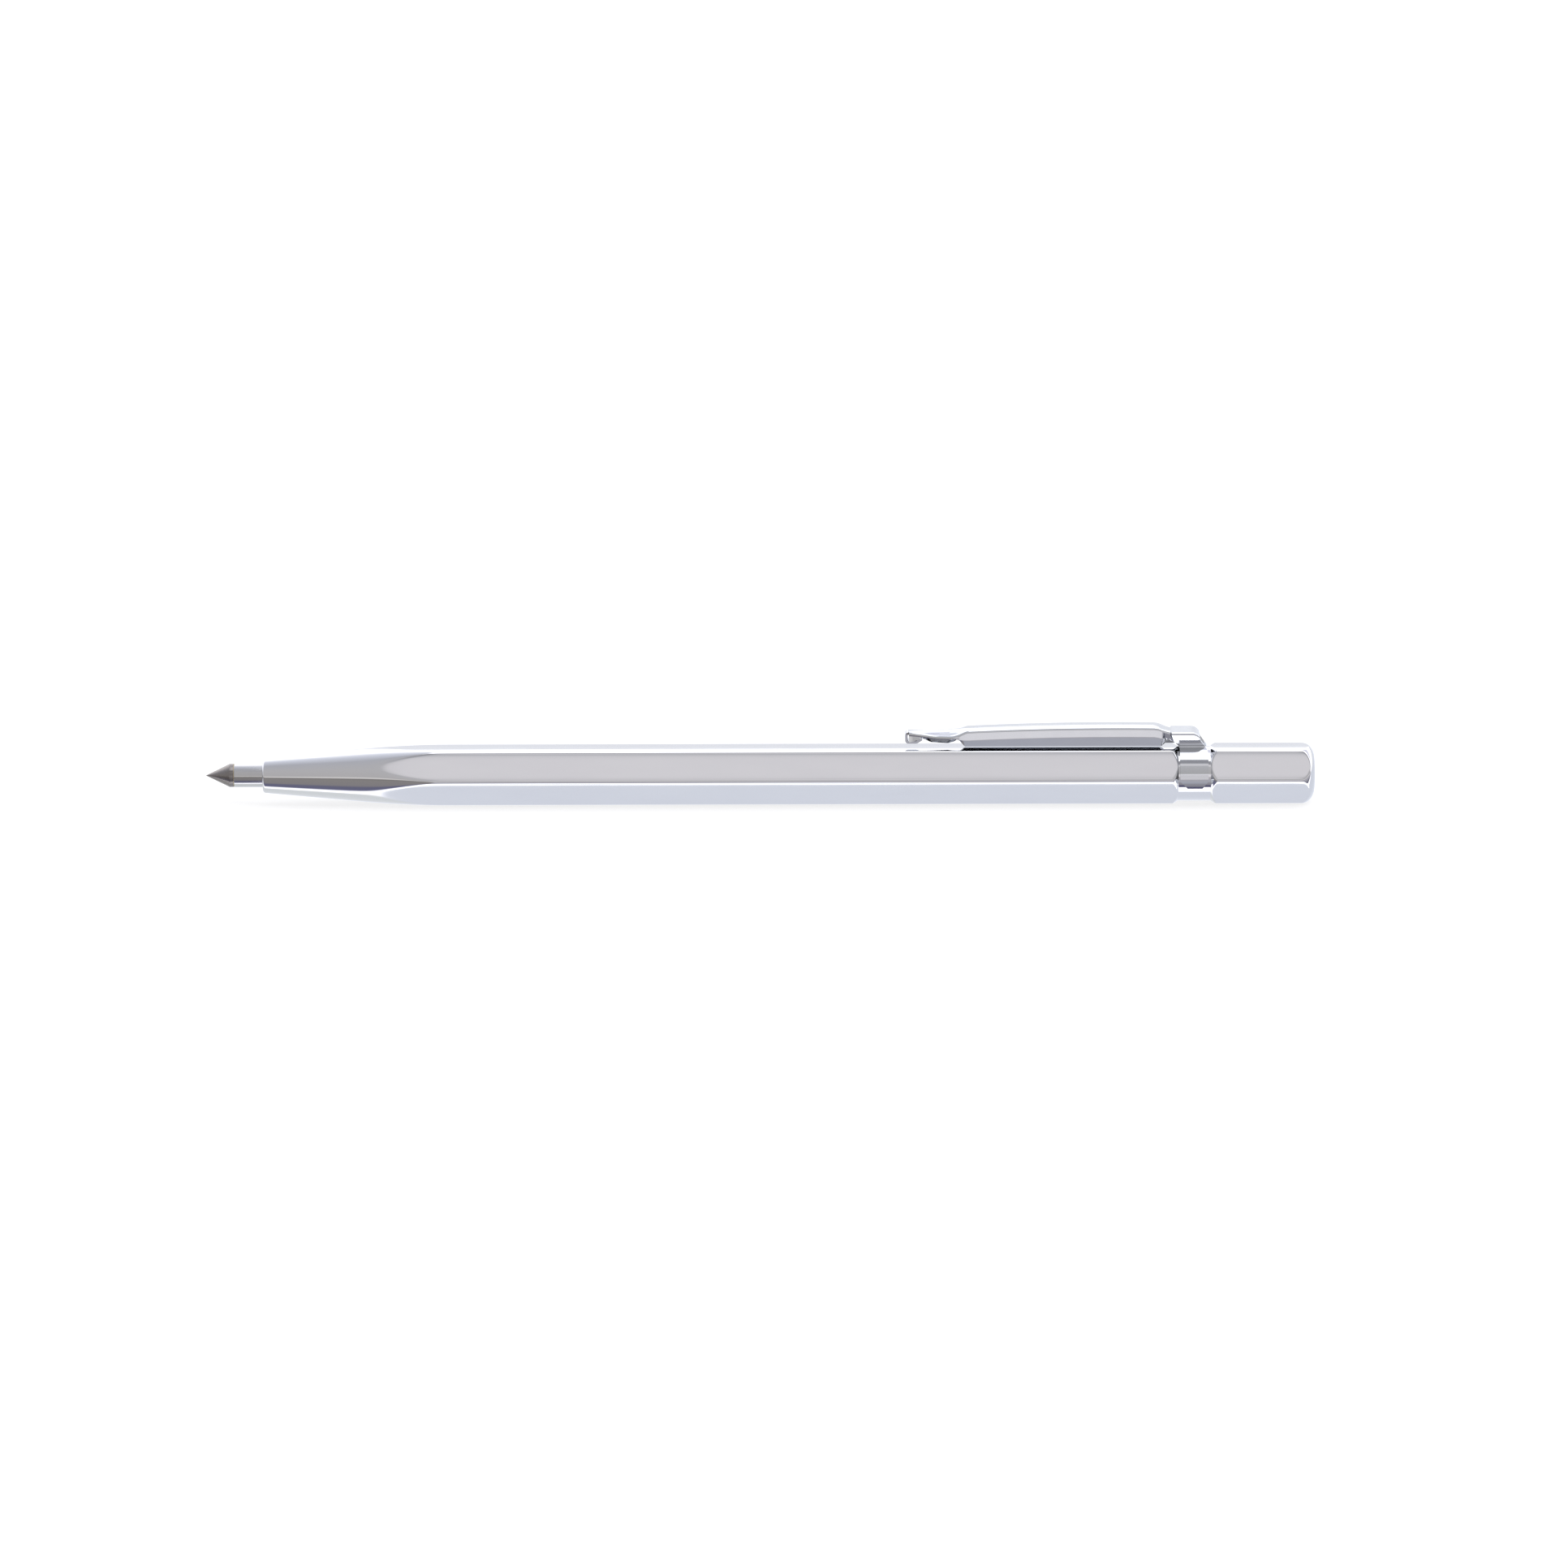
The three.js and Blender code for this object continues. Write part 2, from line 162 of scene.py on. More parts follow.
def turned_bar_tree():
    """Turns a profile about the tool's axis, and keeps it inside the flats of a hexagonal bar.

    The profile is a chain of points at (x, radius, blend). Where the turned radius is less than
    the bar's the surface is round, elsewhere it is one of the six flats. The blend softens the
    line where they meet, as buffing does, and does so most in the middle of a flat. The columns
    are crowded towards the bar's corners.
    """
    tree = bpy.data.node_groups.new("turned bar", "GeometryNodeTree")
    face = tree.interface
    face.new_socket("Profile", in_out="INPUT", socket_type="NodeSocketGeometry")
    face.new_socket("Columns", in_out="INPUT", socket_type="NodeSocketInt")
    for name in ("Flat radius", "Flat crown", "Edge roll", "Edge radius", "Blend", "Axis height"):
        face.new_socket(name, in_out="INPUT", socket_type="NodeSocketFloat")
    face.new_socket("Finish", in_out="INPUT", socket_type="NodeSocketMaterial")
    face.new_socket("Bar", in_out="OUTPUT", socket_type="NodeSocketGeometry")

    nodes = Nodes(tree)
    given = nodes.add("NodeGroupInput")
    profile = nodes.value(given, "Profile")
    columns = nodes.value(given, "Columns")
    flat = nodes.value(given, "Flat radius")
    edge = nodes.value(given, "Edge radius")

    count = nodes.add("GeometryNodeAttributeDomainSize", {"component": "MESH"}, {0: profile})
    sheet = nodes.add(
        "GeometryNodeMeshGrid",
        {},
        {
            "Size X": 1.0,
            "Size Y": 1.0,
            "Vertices X": nodes.value(count, "Point Count"),
            "Vertices Y": columns + 1,
        },
    )
    number = nodes.value(nodes.add("GeometryNodeInputIndex"))
    ring = nodes.math("FLOOR", (number + 0.5) / (columns + 1))
    column = number - ring * (columns + 1)
    place = nodes.value(nodes.add("GeometryNodeInputPosition"))
    sampled = nodes.add(
        "GeometryNodeSampleIndex",
        {"data_type": "FLOAT_VECTOR", "domain": "POINT"},
        {"Geometry": profile, "Value": place, "Index": ring},
    )
    parts = nodes.add("ShaderNodeSeparateXYZ", {}, {0: nodes.value(sampled)})
    along = nodes.value(parts, "X")
    radius = nodes.value(parts, "Y")
    buffed = nodes.value(parts, "Z")

    side_count = column / columns * 6
    side_number = nodes.math("FLOOR", side_count + 1e-4)
    across = (side_count - side_number) * 2 - 1
    from_corner = nodes.math("MAXIMUM", 1 - nodes.math("ABSOLUTE", across), 0.0)
    off_flat = (1 - nodes.math("POWER", from_corner, CORNER_CROWDING)) * HALF_SIDE
    off_corner = HALF_SIDE - off_flat
    turn = (side_number + 0.5) * (HALF_SIDE * 2) + nodes.math("SIGN", across) * off_flat
    centre = (flat - edge) / math.cos(HALF_SIDE)
    reach = flat * nodes.math("TANGENT", off_flat)
    share = reach / (centre / 2)
    roll = nodes.value(given, "Edge roll")
    at_edge = centre * centre / 4 / (nodes.value(given, "Flat crown") * 2)
    sag = at_edge * share * share + roll * nodes.math("POWER", share, 4.0)
    plane = (flat - sag) / nodes.math("COSINE", off_flat)
    side = centre * nodes.math("SINE", off_corner)
    inside = nodes.math("MAXIMUM", edge * edge - side * side, 0.0)
    rounding = centre * nodes.math("COSINE", off_corner) + nodes.math("SQRT", inside)
    edge_reach = nodes.math("ARCTANGENT", (centre / 2) / flat)
    on_edge = nodes.math("GREATER_THAN", off_flat, edge_reach)
    bar = plane + on_edge * (rounding - at_edge - roll - plane)

    middle = 1 - off_flat * off_flat / HALF_SIDE**2
    blend = nodes.value(given, "Blend") + buffed * middle
    gap = bar - radius
    least = (bar + radius - nodes.math("SQRT", gap * gap + blend * blend)) / 2
    kept = nodes.math("MAXIMUM", nodes.math("MINIMUM", least, radius), 0.0)
    point = nodes.add(
        "ShaderNodeCombineXYZ",
        {},
        {
            0: along,
            1: kept * nodes.math("COSINE", turn),
            2: kept * nodes.math("SINE", turn) + nodes.value(given, "Axis height"),
        },
    )
    placed = nodes.add(
        "GeometryNodeSetPosition",
        {},
        {"Geometry": nodes.value(sheet, "Mesh"), "Position": nodes.value(point)},
    )
    closed = nodes.add(
        "GeometryNodeMergeByDistance",
        {},
        {"Geometry": nodes.value(placed), "Distance": WELD_DISTANCE},
    )
    outward = nodes.add("GeometryNodeFlipFaces", {}, {0: nodes.value(closed)})
    smooth = nodes.add("GeometryNodeSetShadeSmooth", {}, {0: nodes.value(outward)})
    whole = nodes.add("GeometryNodeRealizeInstances", {}, {0: nodes.value(smooth)})
    finished = nodes.add(
        "GeometryNodeSetMaterial",
        {},
        {"Geometry": nodes.value(whole), "Material": nodes.value(given, "Finish")},
    )
    nodes.add("NodeGroupOutput", {}, {0: nodes.value(finished)})
    return tree


def plain_mesh(piece):
    """Leaves the piece with the mesh that its modifiers make, and no modifiers."""
    evaluated = piece.evaluated_get(bpy.context.evaluated_depsgraph_get())
    mesh = bpy.data.meshes.new_from_object(evaluated)
    piece.modifiers.clear()
    piece.data = mesh
    mesh.name = piece.name
    return piece


TURNED_BAR = turned_bar_tree()
NO_FLATS = 1.0
BUFFED_FADE = 0.25


def turned_piece(name, profile, finish, columns, buffed=(1, 0), **sizes):
    """A piece turned from a profile of (mm from the tip, mm of radius) points.

    The sizes are the tree's inputs for a hexagonal bar. Up to buffed[0] mm from the tip the flats
    blend over buffed[1] mm into what is turned, and the blend fades out before that end.
    """
    mesh = bpy.data.meshes.new(name)
    end, blend = buffed
    points = []
    for x, r in profile:
        left = min(max((end - x) / (BUFFED_FADE * end), 0), 1)
        points.append((TIP_X + x * MM, r * MM, blend * MM * left * left * (3 - 2 * left)))
    mesh.from_pydata(points, [(i, i + 1) for i in range(len(points) - 1)], [])
    piece = bpy.data.objects.new(name, mesh)
    bpy.context.scene.collection.objects.link(piece)
    turning = piece.modifiers.new("turning", "NODES")
    turning.node_group = TURNED_BAR
    inputs = {
        "Columns": columns,
        "Flat radius": NO_FLATS,
        "Flat crown": NO_FLATS,
        "Axis height": AXIS_Z,
        "Finish": finish,
        **sizes,
    }
    for item in TURNED_BAR.interface.items_tree:
        if item.name in inputs:
            turning[item.identifier] = inputs[item.name]
    return plain_mesh(piece)


def new_finish(name):
    """An empty material: its nodes, its object coordinates, and its Principled shader."""
    material = bpy.data.materials.new(name)
    material.use_nodes = True
    material.node_tree.nodes.clear()
    nodes = Nodes(material.node_tree)
    shader = nodes.add("ShaderNodeBsdfPrincipled")
    nodes.add("ShaderNodeOutputMaterial", {}, {"Surface": nodes.value(shader)})
    coordinates = nodes.add("ShaderNodeTexCoord")
    return material, nodes, nodes.value(coordinates, "Object"), shader


def grain(nodes, coordinates, size_mm, detail=2.0, centre=(0, 0, 0)):
    """Noise whose blots measure size_mm along each axis, about 0.5 on average."""
    stretch = nodes.add(
        "ShaderNodeMapping",
        {},
        {"Vector": coordinates, "Scale": [1 / (s * MM) for s in size_mm], "Location": centre},
    )
    noise = nodes.add(
        "ShaderNodeTexNoise",
        {"noise_dimensions": "3D"},
        {"Vector": nodes.value(stretch), "Scale": 1.0, "Detail": detail, "Roughness": 0.55},
    )
    return nodes.value(noise, 0)


def mix_colour(nodes, factor, first, second):
    mixed = nodes.add(
        "ShaderNodeMix",
        {"data_type": "RGBA"},
        {"Factor": factor, 6: (*first, 1), 7: (*second, 1)},
    )
    return nodes.value(mixed, 2)


def relief(nodes, height, depth_mm, strength=1.0, under=None):
    """A bump of that depth, laid over another one if it is given."""
    inputs = {"Height": height, "Distance": depth_mm * MM, "Strength": strength}
    if under is not None:
        inputs["Normal"] = under
    return nodes.value(nodes.add("ShaderNodeBump", {}, inputs))


def dress_metal(nodes, shader, tint, polish, bump):
    """Links what varies over a metal: its colour, its roughness and its relief."""
    links = nodes.tree.links
    links.new(tint.socket, shader.inputs["Base Color"])
    links.new(polish.socket, shader.inputs["Roughness"])
    links.new(bump.socket, shader.inputs["Normal"])
    shader.inputs["Metallic"].default_value = 1.0


def bright_plate():
    """Buffed bright plating: a faint blue cast, long buffing lines and a slow ripple."""
    material, nodes, place, shader = new_finish("bright_plate")
    ripple = grain(nodes, place, (9, 2.2, 2.2))
    buffing = grain(nodes, place, (14, 0.09, 0.09), 3.0)
    peel = grain(nodes, place, (0.35, 0.35, 0.35), 2.0)
    handling = grain(nodes, place, (7, 3, 3), 4.0, (3.1, 0.4, 1.7))
    tint = mix_colour(nodes, ripple, (0.60, 0.602, 0.622), (0.632, 0.636, 0.652))
    polish = 0.035 + buffing * 0.02 + handling * 0.03
    slow = relief(nodes, ripple, 0.0022)
    fine = relief(nodes, peel, 0.00006, 1.0, slow)
    lines = relief(nodes, buffing, 0.00004, 1.0, fine)
    dress_metal(nodes, shader, tint, polish, lines)
    return material


NOSE_X = 7.2
NOSE_FACE_RADIUS = 1.9
NOSE_LIP = 0.35
NOSE_LIP_END = 95
BORE_RADIUS = 1.55
BORE_END_X = 37.5
DRILL_CONE = 0.9
TAPER_END_X = 20
TAPER_SLOPE = 0.09
OGIVE_RADIUS = 190
OGIVE_END_X = 33
OGIVE_STEPS = 130
CLEAR_RADIUS = 4.34
GROOVE_X = (122.65, 126.75)
GROOVE_FLOOR_RADIUS = 3.45
GROOVE_CHAMFER = 0.75
GROOVE_CORNER = 0.12
GROOVE_STEP = 0.14
GROOVE_RUN_OUT = 0.4
GROOVE_MARGIN = 2
CORNER_RADIUS = FLAT_RADIUS / MM / math.cos(math.pi / 6)
REAR_LEAD_X = (136.6, 137.6)
REAR_LEAD_SLOPE = 0.17
REAR_CORNER_RADIUS = 2
REAR_CORNER_OUTER = 4
REAR_CROWN_RADIUS = 25
EDGE_RADIUS = 0.4
FLAT_CROWN_RADIUS = 240
EDGE_ROLL = 0.014
BUFFED_BLEND = 0.03
NOSE_BLEND = 0.13
BUFFED_END_X = 31
BARREL_COLUMNS = 312


def bore_and_nose():
    """From the bottom of the bore, out round the nose's lip, and back to the full bar."""
    lip_radius = NOSE_FACE_RADIUS + NOSE_LIP
    taper_x = NOSE_X + NOSE_LIP
    taper_end_radius = lip_radius + (TAPER_END_X - taper_x) * TAPER_SLOPE
    tilt = math.atan(TAPER_SLOPE)
    centre_x = TAPER_END_X + OGIVE_RADIUS * math.sin(tilt)
    centre_r = taper_end_radius - OGIVE_RADIUS * math.cos(tilt)
    bore = broken_corners(
        [
            (BORE_END_X + DRILL_CONE, 0, 0),
            (BORE_END_X, BORE_RADIUS, 0.1),
            (NOSE_X, BORE_RADIUS, 0.08),
            (NOSE_X, NOSE_FACE_RADIUS, 0),
        ]
    )
    lip = arc(taper_x, NOSE_FACE_RADIUS, NOSE_LIP, 180, NOSE_LIP_END, 10)[1:]
    taper = [
        (x, lip_radius + (x - taper_x) * TAPER_SLOPE)
        for x in spread(taper_x + 0.3, TAPER_END_X - 0.2, 14)
    ]
    ogive = [
        (x, centre_r + math.sqrt(OGIVE_RADIUS**2 - (x - centre_x) ** 2))
        for x in spread(TAPER_END_X, OGIVE_END_X, OGIVE_STEPS)
    ]
    return bore + lip + taper + ogive


def groove():
    """The clip's groove with a chamfer at each side, in short steps so that the flats end cleanly."""
    front, rear = GROOVE_X
    start, end = front - GROOVE_CHAMFER, rear + GROOVE_CHAMFER
    wall = broken_corners(
        [
            (start - GROOVE_RUN_OUT, CLEAR_RADIUS, 0),
            (start, CORNER_RADIUS, 0),
            (front, GROOVE_FLOOR_RADIUS, GROOVE_CORNER),
            (rear, GROOVE_FLOOR_RADIUS, GROOVE_CORNER),
            (end, CORNER_RADIUS, 0),
            (end + GROOVE_RUN_OUT, CLEAR_RADIUS, 0),
        ]
    )
    fine = []
    for (x0, r0), (x1, r1) in zip(wall, wall[1:]):
        steps = max(1, round(math.hypot(x1 - x0, r1 - r0) / GROOVE_STEP))
        fine += [
            (x0 + (x1 - x0) * i / steps, r0 + (r1 - r0) * i / steps) for i in range(steps)
        ]
    return fine + [wall[-1]]


def rear_end():
    """A rounded corner and a shallow dome, after a lead-in that stays clear of the bar."""
    corner_r = REAR_CORNER_OUTER - REAR_CORNER_RADIUS
    gap = REAR_CROWN_RADIUS - REAR_CORNER_RADIUS
    crown_x = TOOL_LENGTH - REAR_CROWN_RADIUS
    corner_x = crown_x + math.sqrt(gap**2 - corner_r**2)
    join = math.degrees(math.asin(corner_r / gap))
    lead_in = [
        (x, CLEAR_RADIUS - REAR_LEAD_SLOPE * (x - REAR_LEAD_X[0]))
        for x in spread(*REAR_LEAD_X, 4)
    ]
    corner = arc(corner_x, corner_r, REAR_CORNER_RADIUS, 90, join, 34)
    crown = arc(crown_x, 0, REAR_CROWN_RADIUS, join, 0, 9)[1:]
    return lead_in + corner + crown


barrel_profile = [
    *bore_and_nose(),
    *[(x, CLEAR_RADIUS) for x in spread(OGIVE_END_X + 0.8, GROOVE_X[0] - GROOVE_MARGIN, 12)],
    *groove(),
    *[(x, CLEAR_RADIUS) for x in spread(GROOVE_X[1] + GROOVE_MARGIN, 136, 3)],
    *rear_end(),
]
barrel = turned_piece(
    "hexagonal_barrel",
    barrel_profile,
    bright_plate(),
    columns=BARREL_COLUMNS,
    buffed=(BUFFED_END_X, NOSE_BLEND),
    **{
        "Flat radius": FLAT_RADIUS,
        "Flat crown": FLAT_CROWN_RADIUS * MM,
        "Edge roll": EDGE_ROLL * MM,
        "Edge radius": EDGE_RADIUS * MM,
        "Blend": BUFFED_BLEND * MM,
    },
)
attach(barrel, "barrel")
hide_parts("barrel")

# ------------------------------------------------------------------------------------------------
# Point shank. A 3 mm steel rod, centreless ground, so it has very fine rings round it. The front
# is bored for the carbide's tang, and a groove half way along holds the grip ring.

SHANK_RADIUS = 1.5
SHANK_X = (3.6, 29.2)
SHANK_CHAMFER = 0.3
SOCKET_RADIUS = 0.86
SOCKET_END_X = 6.6
SOCKET_CONE = 0.3
POINT_COLUMNS = 192
RING_X = 17.2
RING_GROOVE_WIDTH = 1
RING_GROOVE_RADIUS = 1.06


def ground_steel():
    """Ground tool steel: rings round the rod that only just blur a reflection."""
    material, nodes, place, shader = new_finish("ground_steel")
    rings = grain(nodes, place, (0.05, 6, 6), 3.0)
    spark_out = grain(nodes, place, (0.6, 5, 5), 2.0, (1.3, 0, 0))
    stain = grain(nodes, place, (2, 1.5, 1.5), 3.0, (0, 4.2, 0))
    tint = mix_colour(nodes, stain, (0.50, 0.50, 0.51), (0.56, 0.56, 0.57))
    polish = 0.07 + rings * 0.05 + spark_out * 0.03
    dress_metal(nodes, shader, tint, polish, relief(nodes, rings, 0.00012))
    return material


ring_front = RING_X - RING_GROOVE_WIDTH / 2
ring_rear = RING_X + RING_GROOVE_WIDTH / 2
shank_profile = broken_corners(
    [
        (SOCKET_END_X + SOCKET_CONE, 0, 0),
        (SOCKET_END_X, SOCKET_RADIUS, 0.05),
        (SHANK_X[0], SOCKET_RADIUS, 0.02),
        (SHANK_X[0], SHANK_RADIUS, 0.04),
        (ring_front, SHANK_RADIUS, 0.04),
        (ring_front, RING_GROOVE_RADIUS, 0.08),
        (ring_rear, RING_GROOVE_RADIUS, 0.08),
        (ring_rear, SHANK_RADIUS, 0.04),
        (SHANK_X[1] - SHANK_CHAMFER, SHANK_RADIUS, 0.06),
        (SHANK_X[1], SHANK_RADIUS - SHANK_CHAMFER, 0.06),
        (SHANK_X[1], 0, 0),
    ]
)
shank = turned_piece("ground_shank", shank_profile, ground_steel(), columns=POINT_COLUMNS)
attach(shank, "point")
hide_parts("point_shank")

# ------------------------------------------------------------------------------------------------
# Carbide tip. Sintered tungsten carbide, diamond ground to a cone of about 52 degrees with a short
# land behind it, dark and slightly warm. Its tang sits in the shank's socket.

CONE_LENGTH = 3
CARBIDE_RADIUS = 1.475
CARBIDE_REAR_X = 3.48
TANG_RADIUS = 0.75
TANG_END_X = 6.4
TIP_FLAT_RADIUS = 0.018
TIP_FLAT_DEPTH = 0.012


def ground_carbide():
    """Diamond-ground carbide: rings round the cone, and a fine dark sintered grain."""
    material, nodes, place, shader = new_finish("ground_carbide")
    rings = grain(nodes, place, (0.03, 4, 4), 2.0)
    sinter = grain(nodes, place, (0.04, 0.04, 0.04), 2.0)
    cloud = grain(nodes, place, (0.8, 0.8, 0.8), 3.0, (0, 0, 2.5))
    tint = mix_colour(nodes, cloud, (0.20, 0.182, 0.178), (0.25, 0.236, 0.228))
    polish = 0.2 + rings * 0.08 + sinter * 0.05
    coarse = relief(nodes, rings, 0.0002)
    fine = relief(nodes, sinter, 0.0001, 0.5, coarse)
    dress_metal(nodes, shader, tint, polish, fine)
    return material


carbide_profile = broken_corners(
    [
        (0, 0, 0),
        (TIP_FLAT_DEPTH, TIP_FLAT_RADIUS, 0),
        (CONE_LENGTH, CARBIDE_RADIUS, 0.05),
        (CARBIDE_REAR_X, CARBIDE_RADIUS, 0.03),
        (CARBIDE_REAR_X, TANG_RADIUS, 0.05),
        (TANG_END_X, TANG_RADIUS, 0.05),
        (TANG_END_X, 0, 0),
    ]
)
carbide = turned_piece("carbide_cone", carbide_profile, ground_carbide(), columns=POINT_COLUMNS)
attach(carbide, "point")
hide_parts("carbide_tip")

# ------------------------------------------------------------------------------------------------
# Braze joint. The film of silver braze that fills the gap between carbide and steel. Only its edge
# shows, as a hair line round the point, and it carries on inside as a sleeve round the tang.

BRAZE_GAP = 0.02
BRAZE_SINK = 0.02
BRAZE_SLEEVE_RADIUS = 0.83


def silver_braze():
    """Braze alloy ground flush: pale yellow, with flux pits."""
    material, nodes, place, shader = new_finish("silver_braze")
    pits = grain(nodes, place, (0.06, 0.06, 0.06), 3.0)
    flow = grain(nodes, place, (0.3, 0.5, 0.5), 2.0, (1, 1, 0))
    tint = mix_colour(nodes, flow, (0.44, 0.38, 0.28), (0.58, 0.50, 0.36))
    dress_metal(nodes, shader, tint, 0.3 + pits * 0.2, relief(nodes, pits, 0.004, 0.5))
    return material


braze_front = CARBIDE_REAR_X + BRAZE_GAP
braze_rear = SHANK_X[0] - BRAZE_GAP
braze_inner = TANG_RADIUS + BRAZE_GAP
braze_middle = (braze_inner + BRAZE_SLEEVE_RADIUS) / 2
braze_profile = broken_corners(
    [
        (TANG_END_X, braze_middle, 0),
        (TANG_END_X, braze_inner, 0.01),
        (braze_front, braze_inner, 0.01),
        (braze_front, CARBIDE_RADIUS - BRAZE_SINK, 0.01),
        (braze_rear, CARBIDE_RADIUS - BRAZE_SINK, 0.01),
        (braze_rear, BRAZE_SLEEVE_RADIUS, 0.01),
        (TANG_END_X, BRAZE_SLEEVE_RADIUS, 0.01),
        (TANG_END_X, braze_middle, 0),
    ],
    steps=3,
)
braze = turned_piece("braze_film", braze_profile, silver_braze(), columns=128)
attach(braze, "point")
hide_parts("braze_joint")

# ------------------------------------------------------------------------------------------------
# Grip ring. A split flat ring of spring steel in the shank's groove. It presses on the bore, so
# the point stays in the barrel until it is pulled.

RING_RADII = (1.12, 1.53)
RING_WIDTH = 0.8
RING_SPLIT = 50
RING_STATIONS = 96
RING_EDGE = 0.05


def blued_spring():
    """Tempered spring steel: grey with a drift of temper colour, rolled along the strip."""
    material, nodes, place, shader = new_finish("blued_spring")
    temper = grain(nodes, place, (1.5, 1.5, 1.5), 2.0)
    rolled = grain(nodes, place, (0.03, 0.6, 0.6), 2.0)
    tint = mix_colour(nodes, temper, (0.34, 0.34, 0.36), (0.46, 0.44, 0.42))
    dress_metal(nodes, shader, tint, 0.24 + rolled * 0.16, relief(nodes, rolled, 0.001))
    return material


def split_ring(name, finish):
    """A rounded rectangle swept round the shank, with a gap at the top and two flat ends."""
    inner, outer = RING_RADII
    middle_r, middle_x = (inner + outer) / 2, RING_X
    half_r, half_x = (outer - inner) / 2 - RING_EDGE, RING_WIDTH / 2 - RING_EDGE
    section = []
    for quarter, (sx, sr) in enumerate([(1, 1), (-1, 1), (-1, -1), (1, -1)]):
        corner_x, corner_r = middle_x + sx * half_x, middle_r + sr * half_r
        section += arc(corner_x, corner_r, RING_EDGE, quarter * 90, quarter * 90 + 90, 4)
    points = []
    for turn in spread(90 + RING_SPLIT / 2, 450 - RING_SPLIT / 2, RING_STATIONS):
        y, z = math.cos(math.radians(turn)), math.sin(math.radians(turn))
        points += [(TIP_X + x * MM, r * y * MM, AXIS_Z + r * z * MM) for x, r in section]
    size = len(section)
    faces = []
    for station in range(RING_STATIONS):
        for i in range(size):
            a, b = station * size + i, station * size + (i + 1) % size
            faces.append((b, b + size, a + size, a))
    faces.append(tuple(reversed(range(size))))
    faces.append(tuple(range(len(points) - size, len(points))))
    mesh = bpy.data.meshes.new(name)
    mesh.from_pydata(points, [], faces)
    mesh.polygons.foreach_set("use_smooth", [len(f) == 4 for f in faces])
    mesh.materials.append(finish)
    piece = bpy.data.objects.new(name, mesh)
    bpy.context.scene.collection.objects.link(piece)
    return piece


grip_ring = split_ring("split_ring", blued_spring())
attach(grip_ring, "point")
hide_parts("grip_ring")

# ------------------------------------------------------------------------------------------------
# Pocket clip. One stamping of spring steel sheet, pressed to an inverted channel, pinched flat at
# the free end and curled under there. At the root it drops to a strap that clasps the groove. It
# is bright plated after forming. The sheet's outer face is drawn and the thickness goes inwards.

SHEET = 0.32
ARM_CROWN_X = 114.5
ARM_CROWN_Z = 6.37
ARM_CROWN_RADIUS = 400
WEB_HALF_WIDTH = 1.27
WEB_BEND_RADIUS = 0.26
WEB_CROWN = 0.03
SHOULDER_LEAN = 9
BEVEL_LEAN = 36
BEVEL_WIDTH = 0.16
CREASE_DROP = 1.24
FLANGE_BOTTOM_Z = 3.97
PLATE_EDGE_RADIUS = 0.32
NECK_X = (94.2, 96.3)
FREE_END_X = 88.27
FREE_END_Z = 5.6
CHEEK_X = 88.75
FOOT_Z = 4.12
FOOT_HALF_WIDTH = 0.8
RECESS_X = (120.5, 121.2)
RECESS_HALF_WIDTH = 1.33
RECESS_FOOT_HALF_WIDTH = 0.98
RECESS_FOOT_Z = 4.2
ROOT_X = 121.7
DROP_X = (119.7, 121.9)
STRAP_TOP_Z = 5.71
STRAP_WEB_HALF_WIDTH = 1.48
STRAP_RADIUS = 3.93
STRAP_START_DEGREES = 66
STRAP_END_DEGREES = -15.8
STRAP_FLAT_DEGREES = (11, 2)
STRAP_X = (122.85, 126.42)
STRAP_LEAN = 1.05
STRAP_ROLL_RADIUS = 1.15
STRAP_FRONT_LEAN_Z = (3.5, 5.1)
STRAP_REAR_LEAN_Z = (3.1, 4.9)
STRAP_ROLL_REACH = 0.95
STRAP_ROLL_Z = (4.6, 5.5)
HUMP_NARROWING = 0.17
HUMP_HALF_WIDTH = 2.06
HUMP_CORNER_RADIUS = 0.22
HUMP_WALL = [(1.6, 4.52, 0), (1.24, 3.72, 0.12), (1.62, 3.58, 0)]
STRAP_TAB_CHAMFER = 1.0
STRAP_TAB_SLOPES = (0.95, 0.75)
TUCK_HALF_WIDTH = 1.12
TUCK_GAP = 0.05
LEAST_FLANGE = 0.05
TUMBLED_EDGE = 0.05
STRAP_STATIONS = 14
WEB_COLUMNS = 8
WEB_SHARES = [k / WEB_COLUMNS for k in range(WEB_COLUMNS + 1)]
BEND_STEPS = 7
PLATE_BEND_END = -10
PLATE_FACET = (-0.02, -0.06)
RECESS_BEND_END = -12
RECESS_FACET = (-0.1, -0.6)

# By distance from the tip: the free end's crown, half-width and arch, then the height of the
# side's cut edge and how far that edge is pressed in.
PLATE_CROWN = [(88.9, 5.6), (90, 5.6), (92.4, 5.62), (94, 5.74), (94.6, 5.82)]
PLATE_HALF_WIDTH = [
    (88.3, 0.8), (89, 0.95), (90.6, 1.2), (91.9, 1.4), (93.9, 1.69), (95, 1.76),
]
PLATE_ARCH = [
    (88.8, 0.0), (89.4, 0.04), (90.6, 0.16), (91.9, 0.32), (93.9, 0.46), (95, 0.5),
]
SIDE_EDGE_Z = [
    (88.75, 4.32), (90.4, 4.86), (91.5, 4.34), (93.7, 4.27), (94.4, 4.52), (94.9, 4.95),
    (95.75, FLANGE_BOTTOM_Z), (120.6, FLANGE_BOTTOM_Z), (121, RECESS_FOOT_Z),
]
SIDE_PRESSED_IN = [(90.2, -0.13), (90.7, 0.42), (94.0, 0.5), (94.9, 0.12), (95.5, 0.05)]


def smooth(start, end, x):
    t = min(max((x - start) / (end - start), 0), 1)
    return t * t * (3 - 2 * t)


